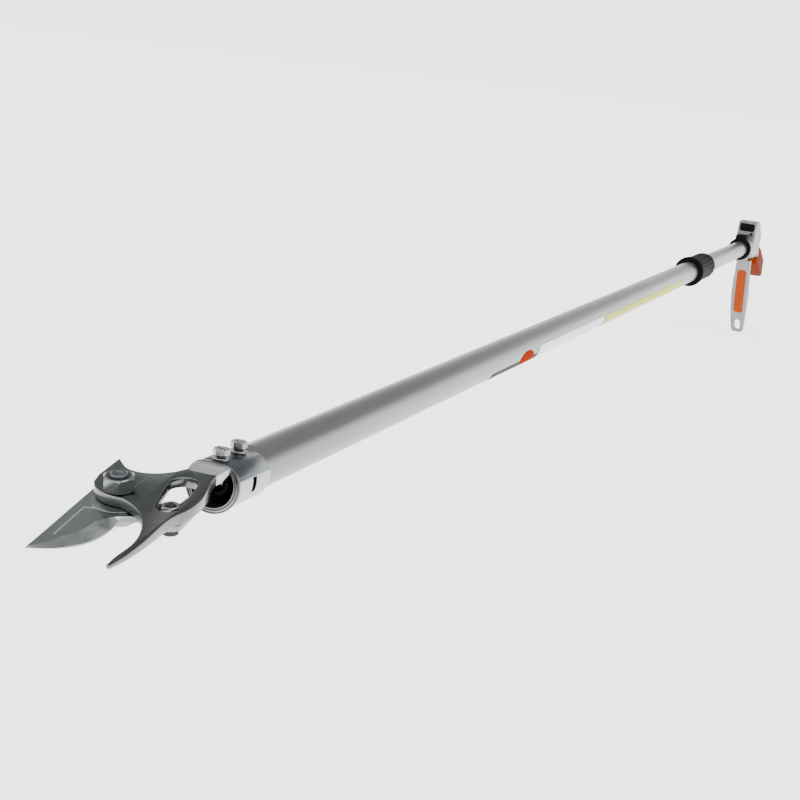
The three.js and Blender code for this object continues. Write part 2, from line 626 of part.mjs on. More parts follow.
// upper arm: a plate from the pivot down past the rod, with a slot for the rod's cross pin
function leverArm() {
  const shape = new THREE.Shape();
  shape.absarc(pivotX, pivotZ, LEVER_HUB_R, 0, Math.PI, false);
  spline(shape, [[55, 12], [54.5, -6], [47.2, -27]]);
  shape.lineTo(58, -31);
  spline(shape, [[74, -14], [79.6, 0], [76, 14], [pivotX + LEVER_HUB_R, pivotZ]]);
  const reach = Math.hypot(ROD_PIN[0] - pivotX, ROD_PIN[1] - pivotZ);
  const toPin = (distance) => [
    pivotX + ((ROD_PIN[0] - pivotX) * distance) / reach,
    pivotZ + ((ROD_PIN[1] - pivotZ) * distance) / reach,
  ];
  const slotR = CLEVIS_PIN_R + 0.9;
  shape.holes.push(pill(...toPin(30.6), slotR, ...toPin(33), slotR, THREE.Path));
  shape.holes.push(circle(pivotX, pivotZ, 4.4, THREE.Path));
  return sideways(shape, ARM_HALF_WIDTH);
}

// lower lever: a channel-shaped finger bar that leans back to its rounded foot
const LEVER_FRONT = [[64, -25], [59, -50], [47, -85], [30, -120], [8.5, -154]];
const LEVER_BACK = [[-2, -150.5], [17, -116], [33, -82], [45, -50], [47.6, -25]];

function leverBar() {
  const side = new THREE.Shape();
  side.moveTo(...LEVER_FRONT[0]);
  spline(side, LEVER_FRONT.slice(1));
  side.quadraticCurveTo(3, -159, -2, -150.5);
  spline(side, LEVER_BACK.slice(1));
  side.closePath();
  const front = new THREE.Shape();
  front.moveTo(11.5, -20);
  spline(front, [[12, -45], [LEVER_HALF_WIDTH, -70], [LEVER_HALF_WIDTH, -100], [12, -130], [10.6, -148]]);
  front.absarc(0, -148, 10.6, 0, -Math.PI, true);
  spline(front, [[-12, -130], [-LEVER_HALF_WIDTH, -100], [-LEVER_HALF_WIDTH, -70], [-12, -45], [-11.5, -20]]);
  front.closePath();
  front.holes.push(pill(0, -146, 5.2, 0, -137.5, 5.2, THREE.Path));
  const bar = common(sideways(side, LEVER_HALF_WIDTH + 1), section(front, -60, 100, 3));
  // channel down the back
  const hollow = new THREE.Shape();
  hollow.moveTo(42, -58);
  spline(hollow, [[27.5, -90], [11, -119]]);
  hollow.lineTo(21.5, -126);
  spline(hollow, [[39.5, -92], [51.5, -58]]);
  hollow.closePath();
  return cut(bar, sideways(hollow, 9.5).translate(-3.6, 0, 0));
}

// the pad stands in a pocket in the front of the bar, which is deeper than the pad by the clearance
function padSide() {
  const shape = new THREE.Shape();
  shape.moveTo(65, -28);
  spline(shape, [[57, -62], [46.6, -90], [32.5, -118], [28.2, -126]]);
  shape.lineTo(23.8, -124);
  spline(shape, [[28, -116], [42.6, -86], [52.5, -58], [59.5, -28]]);
  shape.closePath();
  return sideways(shape, 10);
}
const padFront = (grow) => section(roundedBox(0, -80.5, 7.4 + grow, 38 + grow, 5), 0, 100);
const pad = common(padSide(), padFront(0));
const padPocket = common(padSide().translate(-0.5, 0, 0), padFront(GAP));
add("lever_frame", cut(join(leverArm(), leverBar()), padPocket), castAluminium);
add("lever_pad", pad, orangePlastic);

// torsion spring on the pivot pin, beside the arm
class Coil extends THREE.Curve {
  constructor(radius, pitch, turns, startY) {
    super();
    Object.assign(this, { radius, pitch, turns, startY });
  }

  getPoint(t, target = new THREE.Vector3()) {
    const angle = t * this.turns * 2 * Math.PI;
    const y = this.startY + t * this.turns * this.pitch;
    return target.set(this.radius * Math.cos(angle), y, this.radius * Math.sin(angle));
  }
}
const springPath = { extrudePath: new Coil(6.2, 1.9, 3, 5.8), steps: 42, curveSegments: 3 };
const spring = new THREE.ExtrudeGeometry(circle(0, 0, 0.75), springPath);
add("lever_spring", spring.translate(pivotX, 0, pivotZ), darkSteel);

// clevis that ties the rear rod to the lever through a cross pin
function rodClevis() {
  const fork = sideways(roundedBox(ROD_PIN[0] + 8, 0, 14, 7, 3), 8.5);
  const neckPiece = rod("x", 8, 84, 93.6, 24);
  const slot = ARM_HALF_WIDTH + 0.6;
  return cut(join(fork, neckPiece),
    box(50, 85.5, -slot, slot, -20, 20),
    rod("y", CLEVIS_PIN_R + GAP, -20, 20).translate(ROD_PIN[0], 0, ROD_PIN[1]));
}
add("rod_clevis", rodClevis(), brightSteel);
const clevisPin = rod("y", CLEVIS_PIN_R, -8.4, 8.4).translate(ROD_PIN[0], 0, ROD_PIN[1]);
add("clevis_pin", clevisPin, brightSteel);

export default pruner;
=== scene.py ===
"""Looks for the long-reach pruner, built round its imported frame. Lengths are millimetres until a
mesh is made, +X runs along the pole to the cutting head and +Z is up."""
import math

import bmesh
import bpy
from mathutils import Matrix, Vector
from mathutils.geometry import tessellate_polygon


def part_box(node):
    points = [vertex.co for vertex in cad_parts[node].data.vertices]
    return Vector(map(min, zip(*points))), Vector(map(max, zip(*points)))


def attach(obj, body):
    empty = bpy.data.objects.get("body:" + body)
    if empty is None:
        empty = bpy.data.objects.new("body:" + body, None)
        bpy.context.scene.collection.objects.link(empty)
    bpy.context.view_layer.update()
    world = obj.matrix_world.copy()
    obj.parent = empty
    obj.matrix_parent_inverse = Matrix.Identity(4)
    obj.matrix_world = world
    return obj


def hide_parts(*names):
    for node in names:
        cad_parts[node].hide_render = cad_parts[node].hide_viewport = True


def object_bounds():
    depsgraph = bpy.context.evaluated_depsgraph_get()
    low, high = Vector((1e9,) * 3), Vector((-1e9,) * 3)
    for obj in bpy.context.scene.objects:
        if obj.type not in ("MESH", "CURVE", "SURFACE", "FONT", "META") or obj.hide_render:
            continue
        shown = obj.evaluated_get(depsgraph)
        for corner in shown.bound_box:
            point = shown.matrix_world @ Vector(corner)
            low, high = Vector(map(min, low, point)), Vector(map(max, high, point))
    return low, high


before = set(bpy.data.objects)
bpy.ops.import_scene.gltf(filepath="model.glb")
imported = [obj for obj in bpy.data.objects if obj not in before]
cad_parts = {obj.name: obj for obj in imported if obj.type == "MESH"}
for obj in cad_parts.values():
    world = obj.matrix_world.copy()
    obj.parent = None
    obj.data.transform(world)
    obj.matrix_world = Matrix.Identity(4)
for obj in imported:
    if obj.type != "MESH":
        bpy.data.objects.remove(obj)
cad_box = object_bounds()
MM = 0.001

# ---------------------------------------------------------------- sizes shared by the pieces
POLE_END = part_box("outer_tube")[1].x / MM  # mouth of the outer tube
POLE_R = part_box("outer_tube")[1].z / MM
POLE_BORE_R = 13.1
POLE_REAR_X = 532
INNER_R = 12.75
INNER_BORE_R = 11.75
INNER_REAR_X = 88
INNER_FRONT_X = 1570

HEAD_PITCH = math.radians(9.5)  # the head leans down from the pole
HEAD_Z = 12.1
PLATE_T = 6
NOSE_FROM_U = 78  # where the hook starts to thin
NOSE_U = 136
NOSE_T = 1.8
BLADE_TOP = -6.4
BLADE_BOTTOM = -10.4
BLADE_FACE = BLADE_TOP - 0.5  # the blade's top, round its raised hub
BLADE_TIP_U = 124
BLADE_THINS_U = 95
PIVOT = (55, -28)
PIVOT_HOLE_R = 5.2
LINK_PIN = (56, 3.3)
LINK_PIN_R = 2.8
LINK_TOP = -11.2
LINK_T = 3
LINK_EYE_R = 4.2
BALL_X = 2103
BALL_R = 5

CLAMP_R = 14.3  # inside of the saddle and the sleeve
SADDLE_R = 16.2
SADDLE_LENGTH = 40
SADDLE_EDGE = 14  # degrees above the horizontal where the saddle stops
CROWN_Z = 12.8  # top of the saddle's flat crown
SHOULDER = [(14.6, 7), (12.6, 10), (10, 12), (6.6, CROWN_Z)]
SLEEVE_LENGTH = 44
SLEEVE_T = 1.7
CLAMP_FRONT_X = POLE_END - 0.6
SLOT_X = POLE_END - 22.7
SLOT_HALF = 2.6
SLOT_FROM, SLOT_TO = 340, 372  # degrees round the pole, from +Y towards +Z
BOLT_X = (POLE_END - 8.5, POLE_END - 31)
RIVET_X = (POLE_END - 12, POLE_END - 34)


def basis(x, y, z, origin=(0, 0, 0)):
    rows = [[x[i], y[i], z[i], origin[i]] for i in range(3)]
    return Matrix(rows + [[0, 0, 0, 1]])


SIN, COS = math.sin(HEAD_PITCH), math.cos(HEAD_PITCH)
HEAD = basis((COS, 0, -SIN), (0, 1, 0), (SIN, 0, COS), (POLE_END, 0, HEAD_Z))
ALONG_X = basis((0, 1, 0), (0, 0, 1), (1, 0, 0))
AT_PIVOT = HEAD @ Matrix.Translation((*PIVOT, 0))
AT_PIN = HEAD @ Matrix.Translation((*LINK_PIN, 0))


# ---------------------------------------------------------------- outlines
def spline(points, steps=8):
    """A smooth curve through the points."""
    out = []
    last = len(points) - 1
    for i in range(last):
        p0, p1, p2, p3 = (points[max(0, min(last, k))] for k in (i - 1, i, i + 1, i + 2))
        for s in range(steps):
            t = s / steps
            out.append(tuple(
                0.5 * (2 * b + (c - a) * t + (2 * a - 5 * b + 4 * c - d) * t * t
                       + (3 * b - a - 3 * c + d) * t ** 3)
                for a, b, c, d in zip(p0, p1, p2, p3)))
    return out + [tuple(points[-1])]


def arc(x, y, r, start, end, steps=24):
    """Part of a circle, between two angles in degrees."""
    a, b = math.radians(start), math.radians(end)
    return [(x + r * math.cos(a + (b - a) * i / steps), y + r * math.sin(a + (b - a) * i / steps))
            for i in range(steps + 1)]


def circle(x, y, r, steps=48):
    return arc(x, y, r, 0, 360, steps)[:-1]


def pill(ax, ay, ar, bx, by, br):
    """Two circles of radius ar and br and the lines that touch both."""
    heading = math.degrees(math.atan2(by - ay, bx - ax))
    lean = math.degrees(math.acos((ar - br) / math.hypot(bx - ax, by - ay)))
    return (arc(bx, by, br, heading - lean, heading + lean)
            + arc(ax, ay, ar, heading + lean, heading + 360 - lean))


def ribbon(path, width):
    """A thin strip's outline along a path."""
    left, right = [], []
    for i, (x, y) in enumerate(path):
        a, b = path[max(0, i - 1)], path[min(len(path) - 1, i + 1)]
        d = Vector((b[0] - a[0], b[1] - a[1])).normalized() * width / 2
        left.append((x - d.y, y + d.x))
        right.append((x + d.y, y - d.x))
    return left + right[::-1]


def height_at(path, x):
    """The height of a path of (x, height) points at x."""
    for (x0, z0), (x1, z1) in zip(path, path[1:]):
        if x0 <= x <= x1:
            return z0 + (z1 - z0) * (x - x0) / (x1 - x0)
    return path[-1][1]


def area(loop):
    return sum(a[0] * b[1] - b[0] * a[1] for a, b in zip(loop, loop[1:] + loop[:1])) / 2


def tidy(loop):
    """Anticlockwise, with no point repeated."""
    kept = [p for i, p in enumerate(loop) if math.dist(p, loop[i - 1]) > 1e-4]
    return kept if area(kept) > 0 else kept[::-1]


def inset(loop, amount):
    """An anticlockwise loop moved inwards, by one amount or by an amount for each point."""
    out = []
    for i, (x, y) in enumerate(loop):
        d = amount[i] if isinstance(amount, list) else amount
        ax, ay = loop[i - 1]
        bx, by = loop[(i + 1) % len(loop)]
        one = Vector((ay - y, x - ax)).normalized()
        two = Vector((y - by, bx - x)).normalized()
        k = d / max(0.5, 1 + one.dot(two))
        out.append((x + (one.x + two.x) * k, y + (one.y + two.y) * k))
    return out


# ---------------------------------------------------------------- meshes
class Piece:
    """Faces in millimetres that become one mesh object in metres."""

    def __init__(self):
        self.verts, self.faces, self.looks = [], [], []

    def add(self, verts, faces, look=0):
        start = len(self.verts)
        self.verts += verts
        self.faces += [[start + i for i in f] for f in faces]
        self.looks += [look] * len(faces)

    def bridge(self, rings, look=0, closed=False):
        """Joins loops of equal length; closed joins the last to the first too."""
        n, count = len(rings[0]), len(rings)
        faces = []
        for r in range(count if closed else count - 1):
            a, b = r * n, ((r + 1) % count) * n
            faces += [[a + i, a + (i + 1) % n, b + (i + 1) % n, b + i] for i in range(n)]
        self.add([p for ring in rings for p in ring], faces, look)

    def folded_strip(self, rings):
        """A closed strip: each ring is a row of points over the same number of points under it,
        taken backwards."""
        self.bridge(rings)
        n = len(rings[0])
        for ring in (rings[0], rings[-1]):
            self.add(ring, [[k, k + 1, n - 2 - k, n - 1 - k] for k in range(n // 2 - 1)])

    def cap(self, loops, z):
        """A flat face with holes at height z."""
        loops3 = [[Vector((x, y, 0)) for x, y in loop] for loop in loops]
        flat = [(x, y, z) for loop in loops for x, y in loop]
        self.add(flat, [list(t) for t in tessellate_polygon(loops3)])

    def turn(self, profile, sides=64, ribs=0, closed=True, look=0):
        """A profile of (radius, height) or (radius, height, rib depth) turned round Z."""
        rings = []
        for r, z, *depth in profile:
            ring = []
            for i in range(sides):
                a = 2 * math.pi * i / sides
                dip = depth[0] * (0.5 - 0.5 * math.cos(a * ribs)) ** 2 if depth else 0
                ring.append(((r - dip) * math.cos(a), (r - dip) * math.sin(a), z))
            rings.append(ring)
        self.bridge(rings, look, closed)

    def slab(self, outline, z0, z1, holes=(), bevel=0.3, side=0):
        """An outline with holes, raised from z0 to z1, with rounded edges."""
        outline = tidy(outline)
        holes = [tidy(h) for h in holes]
        marks = []
        steps = 2
        for i in range(steps + 1):
            a = math.pi / 2 * i / steps
            marks.append((bevel * (1 - math.sin(a)), z0 + bevel * (1 - math.cos(a))))
        marks += [(d, z0 + z1 - z) for d, z in reversed(marks)]
        self.bridge([[(x, y, z) for x, y in inset(outline, d)] for d, z in marks], side)
        for h in holes:
            self.bridge([[(x, y, z) for x, y in inset(h, -d)] for d, z in marks], side)
        rims = [inset(outline, bevel)] + [inset(h, -bevel) for h in holes]
        self.cap(rims, z0)
        self.cap(rims, z1)

    def band(self, inner, outer, angles, stations, missing=lambda x, a: False):
        """Part of a tube round X: cells between angles in degrees and X stations."""
        na, nx = len(angles) - 1, len(stations) - 1
        whole = abs(angles[-1] - angles[0] - 360) < 1e-6
        here = {(i, j) for i in range(na) for j in range(nx)
                if not missing((stations[j] + stations[j + 1]) / 2, (angles[i] + angles[i + 1]) / 2)}

        def at(i, j, r):
            a = math.radians(angles[i])
            return (stations[j], r * math.cos(a), r * math.sin(a))

        for i, j in here:
            corners = [(i, j), (i + 1, j), (i + 1, j + 1), (i, j + 1)]
            for r in (inner, outer):
                self.add([at(*c, r) for c in corners], [[0, 1, 2, 3]])
            for k, (di, dj) in enumerate([(0, -1), (1, 0), (0, 1), (-1, 0)]):
                beside = ((i + di) % na if whole else i + di, j + dj)
                if beside not in here:
                    a, b = corners[k], corners[(k + 1) % 4]
                    self.add([at(*a, inner), at(*b, inner), at(*b, outer), at(*a, outer)],
                             [[0, 1, 2, 3]])

    def hex(self, flats, z0, z1, bore=0):
        """A hexagonal nut or head with turned-off corners."""
        sides = 72

        def ring(z, lift=0, radius=None):
            out = []
            for i in range(sides):
                a = 2 * math.pi * i / sides
                within = (a + math.pi / 6) % (math.pi / 3) - math.pi / 6
                r = radius or flats / 2 / math.cos(within)
                drop = max(0, r - flats / 2 * 0.98) * 0.55 * lift
                out.append((r * math.cos(a), r * math.sin(a), z + drop))
            return out

        crown = flats / 2 * 0.96
        rings = [ring(z0, radius=bore or 0.01), ring(z0, radius=crown),
                 ring(z0 + 0.2, lift=1), ring(z1 - 0.25, lift=-1), ring(z1, radius=crown)]
        if bore:
            rings += [ring(z1, radius=bore + 0.7), ring(z1 - 0.7, radius=bore)]
        else:
            rings += [ring(z1, radius=0.01)]
        self.bridge(rings, closed=bool(bore))

    def make(self, name, looks, body, node, place=Matrix.Identity(4), sharp=30, bevel=0):
        """Makes the piece an object; node is the CAD node that it replaces, or None."""
        mesh = bpy.data.meshes.new(name)
        mesh.from_pydata([(place @ Vector(v)) * MM for v in self.verts], [], self.faces)
        mesh.polygons.foreach_set("material_index", self.looks)
        bm = bmesh.new()
        bm.from_mesh(mesh)
        bmesh.ops.remove_doubles(bm, verts=bm.verts, dist=2e-6)
        bmesh.ops.dissolve_degenerate(bm, dist=1e-7, edges=bm.edges)
        bmesh.ops.recalc_face_normals(bm, faces=bm.faces)
        bm.to_mesh(mesh)
        bm.free()
        settle(name, mesh, looks, body, node, sharp, bevel)


def settle(name, mesh, looks, body, node, sharp, bevel):
    """Gives a finished mesh its object, looks and body, and hides the CAD node that it replaces."""
    for look in looks if isinstance(looks, list) else [looks]:
        mesh.materials.append(look)
    mesh.shade_smooth()
    mesh.set_sharp_from_angle(angle=math.radians(sharp))
    obj = bpy.data.objects.new(name, mesh)
    bpy.context.scene.collection.objects.link(obj)
    if bevel:
        add = obj.modifiers.new("edges", "BEVEL")
        add.width = bevel * MM
        add.segments = 2
        add.limit_method = "ANGLE"
        add.angle_limit = math.radians(sharp)
        add.harden_normals = True
    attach(obj, body)
    if node:
        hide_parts(node)


def refined(node, name, looks, body, bevel, sharp=28):
    """A copy of a CAD node with its flat faces merged and its edges rounded."""
    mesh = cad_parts[node].data.copy()
    mesh.materials.clear()
    bm = bmesh.new()
    bm.from_mesh(mesh)
    bmesh.ops.remove_doubles(bm, verts=bm.verts, dist=2e-6)
    bmesh.ops.dissolve_limit(bm, angle_limit=math.radians(0.8), verts=bm.verts, edges=bm.edges)
    bm.to_mesh(mesh)
    bm.free()
    settle(name, mesh, looks, body, node, sharp, bevel)


# ---------------------------------------------------------------- materials
def finish(name, color, metallic, roughness, spread=0.12, blotch=60, grain=(900, 900, 900),
           depth=0.01, rough_spread=0.06, edge_wear_and_highlight=None, edge_wear_and_highlight_width=0.6, second=None, second_at=0.6,
           turn=0.0, specular=0.5):
    """A procedural surface: blotchy colour, uneven gloss, fine grain and, if asked, a second
    colour in patches and lighter edges (wear on most looks, a painted highlight on the grip).
    blotch and grain are noise scales per metre; depth, the grain's height, and
    edge_wear_and_highlight_width are in millimetres; turn is in radians."""
    mat = bpy.data.materials.new(name)
    mat.use_nodes = True
    tree = mat.node_tree
    tree.nodes.clear()

    def connect(socket, value):
        if isinstance(value, bpy.types.NodeSocket):
            tree.links.new(value, socket)
        else:
            socket.default_value = value

    def new(kind, **values):
        node = tree.nodes.new("ShaderNode" + kind)
        for key, value in values.items():
            connect(node.inputs[key.replace("_", " ")], value)
        return node

    def mapped(value, from_min, from_max, to_min=0.0, to_max=1.0):
        return new("MapRange", Value=value, From_Min=from_min, From_Max=from_max,
                   To_Min=to_min, To_Max=to_max).outputs["Result"]

    def mix(factor, a, b):
        node = tree.nodes.new("ShaderNodeMix")
        node.data_type = "RGBA"
        connect(node.inputs["Factor"], factor)
        for socket, value in ((node.inputs[6], a), (node.inputs[7], b)):
            connect(socket, value if isinstance(value, bpy.types.NodeSocket) else (*value, 1))
        return node.outputs[2]

    def combine(kind, operation, a, b):
        node = tree.nodes.new("ShaderNode" + kind)
        node.operation = operation
        tree.links.new(a, node.inputs[0])
        tree.links.new(b, node.inputs[1])
        return node.outputs

    where = new("TexCoord").outputs["Object"]
    spots = new("TexNoise", Vector=where, Scale=blotch, Detail=3.0, Roughness=0.5)
    blotches = mapped(spots.outputs["Fac"], 0.3, 0.7)
    darker = [c * (1 - spread) for c in color]
    lighter = [min(1, c * (1 + spread)) for c in color]
    shade = mix(blotches, darker, lighter)
    if second:
        far = new("TexNoise", Vector=where, Scale=blotch * 0.45, Detail=3.0, Roughness=0.5)
        patches = mapped(far.outputs["Fac"], second_at - 0.08, second_at + 0.12)
        shade = mix(patches, shade, second)
    # lighter edges from the Bevel node: wear on most looks, a painted highlight on the grip
    if edge_wear_and_highlight:
        soft = new("Bevel", Radius=edge_wear_and_highlight_width * MM)
        soft.samples = 6
        normal = new("NewGeometry").outputs["Normal"]
        bend = combine("VectorMath", "DOT_PRODUCT", soft.outputs["Normal"], normal)["Value"]
        edge = mapped(bend, 0.995, 0.90)
        shade = mix(combine("Math", "MULTIPLY", edge, blotches)[0], shade, edge_wear_and_highlight)
    turned = new("Mapping", Vector=where, Rotation=(0, 0, turn))
    scaled = new("Mapping", Vector=turned.outputs["Vector"], Scale=grain)
    fine = new("TexNoise", Vector=scaled.outputs["Vector"], Scale=1.0, Detail=3.0, Roughness=0.55)
    gloss = mapped(fine.outputs["Fac"], 0.25, 0.75, max(0.05, roughness - rough_spread),
                   roughness + rough_spread)
    bump = new("Bump", Height=fine.outputs["Fac"], Strength=1.0, Distance=depth * MM)
    shader = new("BsdfPrincipled", Base_Color=shade, Metallic=metallic, Roughness=gloss,
                 Normal=bump.outputs["Normal"])
    shader.inputs["Specular IOR Level"].default_value = specular
    out = tree.nodes.new("ShaderNodeOutputMaterial")
    tree.links.new(shader.outputs[0], out.inputs[0])
    return mat


FILM_GRAIN = (30, 200, 200)
MOULDED = (1400, 1400, 1400)
POLE = finish("satin_aluminium", (0.175, 0.180, 0.180), 0.95, 0.31, 0.04, 9, (6, 700, 700), 0.004)
PLAIN_ALU = finish("plain_aluminium", (0.48, 0.49, 0.49), 1.0, 0.33, 0.05, 30, (8, 900, 900), 0.004)
SLEEVE = finish("sleeve_aluminium", (0.36, 0.39, 0.40), 0.8, 0.34, 0.04, 50, (400, 60, 60), 0.002)
CAST = finish("silver_casting", (0.19, 0.194, 0.19), 0.75, 0.40, 0.12, 60, (900, 900, 900), 0.03,
              edge_wear_and_highlight=(0.34, 0.345, 0.34), edge_wear_and_highlight_width=0.9)
PLATE_FACE = finish("blackened_steel", (0.040, 0.044, 0.043), 0.85, 0.32, 0.22, 45,
                    (400, 400, 400), 0.004, 0.06, second=(0.030, 0.050, 0.044),
                    edge_wear_and_highlight=(0.28, 0.29, 0.28))
SADDLE = finish("blued_steel", (0.075, 0.088, 0.096), 0.9, 0.30, 0.20, 45, (60, 400, 400), 0.004,
                0.06, second=(0.05, 0.075, 0.085), edge_wear_and_highlight=(0.35, 0.37, 0.38))
RIM = finish("mouth_steel", (0.065, 0.068, 0.068), 1.0, 0.22, 0.10, 60, (300, 300, 300), 0.003, 0.04)
GROUND = finish("ground_steel", (0.15, 0.157, 0.15), 1.0, 0.24, 0.10, 30, (250, 250, 60), 0.003, 0.04)
# painted highlight: bright steel for the light caught on the neck's bend and along the blade's groove
HIGHLIGHT_STEEL = finish("painted_highlight_steel", (0.46, 0.47, 0.465), 0.9, 0.36, 0.08, 40, (250, 250, 60), 0.003, 0.05)
BLADE = finish("blade_steel", (0.17, 0.19, 0.185), 1.0, 0.28, 0.12, 60, (500, 60, 500), 0.004, 0.05,
               turn=0.4, edge_wear_and_highlight=(0.40, 0.42, 0.41))
BEVEL = finish("blade_bevel", (0.25, 0.275, 0.265), 1.0, 0.26, 0.14, 90, (60, 500, 500), 0.004, 0.06,
               second=(0.52, 0.54, 0.525), second_at=0.50, turn=-0.6)
ZINC = finish("zinc_plate", (0.23, 0.24, 0.23), 1.0, 0.15, 0.06, 60, (500, 500, 500), 0.003, 0.04)
# black oxide on the dark bolts, screws and spring; on the saddle bolts' shanks and in the pivot nut's
# chamfer it is painted shade
DARK = finish("black_oxide_and_painted_shade", (0.025, 0.025, 0.027), 0.8, 0.38, 0.15, 150, (700, 700, 700), 0.004)
BLACK = finish("black_plastic", (0.0045, 0.0045, 0.005), 0.0, 0.6, 0.15, 80, MOULDED, 0.03,
               0.08, edge_wear_and_highlight=(0.007, 0.007, 0.0075), specular=0.03)
NYLON = finish("white_nylon", (0.75, 0.74, 0.69), 0.0, 0.45, 0.05, 60, (900, 900, 900), 0.02)
ORANGE = finish("orange_plastic", (0.27, 0.036, 0.001), 0.0, 0.5, 0.06, 60, MOULDED, 0.02,
                edge_wear_and_highlight=(0.36, 0.06, 0.004), specular=0.08)
# painted shade and painted highlight: the grip's orange is darkened to a shaded brown, and its broad
# bright orange edges paint the light along them
GRIP = finish("grip_plastic", (0.125, 0.015, 0.001), 0.0, 0.55, 0.12, 60, MOULDED, 0.04,
              edge_wear_and_highlight=(0.30, 0.045, 0.002), edge_wear_and_highlight_width=2.5, specular=0.008)
# painted shade: a black that stands for the shadow inside the sleeve's slot
SLOT_SHADE = finish("painted_slot_shade", (0.001, 0.001, 0.0012), 0.0, 0.8, 0.05, 80, (900, 900, 900), 0.01,
                specular=0.0)
WHITE_FILM = finish("white_film", (0.62, 0.64, 0.65), 0.0, 0.30, 0.01, 12, FILM_GRAIN, 0.001)
YELLOW_FILM = finish("yellow_film", (0.40, 0.45, 0.010), 0.0, 0.35, 0.02, 12, FILM_GRAIN, 0.001,
                     specular=0.05)
DARK_FILM = finish("dark_film", (0.009, 0.007, 0.006), 0.0, 0.45, 0.05, 20, FILM_GRAIN, 0.001,
                   specular=0.02)
RED_FILM = finish("red_film", (0.27, 0.022, 0.005), 0.0, 0.45, 0.03, 20, FILM_GRAIN, 0.001,
                  specular=0.0)


# ---------------------------------------------------------------- cutting head and clamp
SADDLE_FOOT = (SADDLE_R * math.cos(math.radians(SADDLE_EDGE)),
               SADDLE_R * math.sin(math.radians(SADDLE_EDGE)))
SADDLE_SIDE = spline([SADDLE_FOOT] + SHOULDER, 8)
SADDLE_OVER = SADDLE_SIDE + [(-y, z) for y, z in reversed(SADDLE_SIDE)]


def hook_plate():
    """The hook and its arm, with the slot for the link nut; the hook thins towards its nose."""
    outline = ([(10, -8.4)]
               + spline([(18.7, -13.4), (24.5, -19), (28, -26), (28.8, -33), (26.5, -40), (17.7, -49)])
               + [(42, -47.8)]
               + spline([(51.5, -45.4), (58, -40.5), (62, -34), (63.4, -27), (64, -20.5),
                         (68.4, -12.6), (75.6, -4.2), (85, 2.6), (98, 8), (110, 10.2), (124, 9.8),
                         (134.3, 10.5)])
               + [(134.8, 12.6)]
               + spline([(122, 14.2), (106, 14.4), (92, 13.6), (79, 12.9), (70, 13.6), (62, 15.7),
                         (53, 16.6), (44, 15.9), (34, 13.5), (22, 10), (10, 8.4)]))
    slot = pill(31.5, -2.2, 8, 61, 4.5, 6.7)
    plate = Piece()
    plate.slab(outline, -PLATE_T, 0, [slot, circle(*PIVOT, PIVOT_HOLE_R)], bevel=0.45, side=1)

    def thinned(u, v, w):
        share = max(0, u - NOSE_FROM_U) / (NOSE_U - NOSE_FROM_U)
        return (u, v, w + (PLATE_T - NOSE_T) * share if w < -PLATE_T / 2 else w)

    plate.verts = [thinned(*vert) for vert in plate.verts]
    plate.make("hook_plate_shape", [PLATE_FACE, GROUND], "head_pole", "hook_plate", HEAD)


def hook_neck():
    """The strip that dips from the saddle's crown to the plate, in bright steel that paints the
    highlight on its bend.
    """
    crown = [(0, CROWN_Z)] + SADDLE_SIDE[::-1]
    dip = spline([(-3.0, CROWN_Z), (0, CROWN_Z), (4, 12.4), (9, 10.9), (15.5, 9.4), (20, 8.6)], 16)
    rings = []
    for i in range(29):
        x = -3 + 19.5 * i / 28
        flat = min(1, max(0, x / 15)) ** 1.5
        half = 11 if x < 3 else 11 - 2.6 * min(1, (x - 3) / 13)
        thick = 1.85 if x < 0.36 else min(PLATE_T - 0.05, 1.9 + 0.46 * x)
        row = [half * (k / 12 - 1) for k in range(25)]
        tops = [height_at(dip, x) - (CROWN_Z - height_at(crown, abs(y))) * (1 - flat) + 0.03
                for y in row]
        rings.append([(POLE_END + x, y, z) for y, z in zip(row, tops)]
                     + [(POLE_END + x, y, z - thick) for y, z in zip(row[::-1], tops[::-1])])
    neck = Piece()
    neck.folded_strip(rings)
    neck.make("hook_neck", HIGHLIGHT_STEEL, "head_pole", None, sharp=40, bevel=0.4)


def pole_saddle():
    """The half shell over the pole's end, with a flat crown under the bolts."""
    flat_from = math.degrees(math.asin((CROWN_Z - 1.9) / CLAMP_R))
    under = (arc(0, 0, CLAMP_R, 180 - SADDLE_EDGE, 180 - flat_from)
             + arc(0, 0, CLAMP_R, flat_from, SADDLE_EDGE))
    saddle = Piece()
    saddle.slab(SADDLE_OVER + under, POLE_END - SADDLE_LENGTH, CLAMP_FRONT_X, bevel=0.35)
    saddle.make("pole_saddle", SADDLE, "head_pole", None, ALONG_X, sharp=35)


def mouth_bead():
    """Two rolled rings round the clamp's mouth."""
    loop = SADDLE_OVER + arc(0, 0, SADDLE_R - 0.1, 180 - SADDLE_EDGE, 360 + SADDLE_EDGE, 72)[1:-1]
    mouth = Piece()
    for out_by, x0, x1 in ((0.45, -2.4, 0.2), (-1.25, -1.0, 0.35)):
        wide = inset(tidy(loop), -out_by)
        slim = inset(tidy(loop), -out_by + 0.9)
        chamfered = inset(wide, 0.3)
        profile = ((wide, x0 + 0.3), (wide, x1 - 0.3), (chamfered, x1), (slim, x1), (slim, x0),
                   (chamfered, x0))
        mouth.bridge([[(POLE_END + x, y, z) for y, z in ring] for ring, x in profile], closed=True)
    mouth.make("mouth_bead", RIM, "head_pole", None, sharp=40)


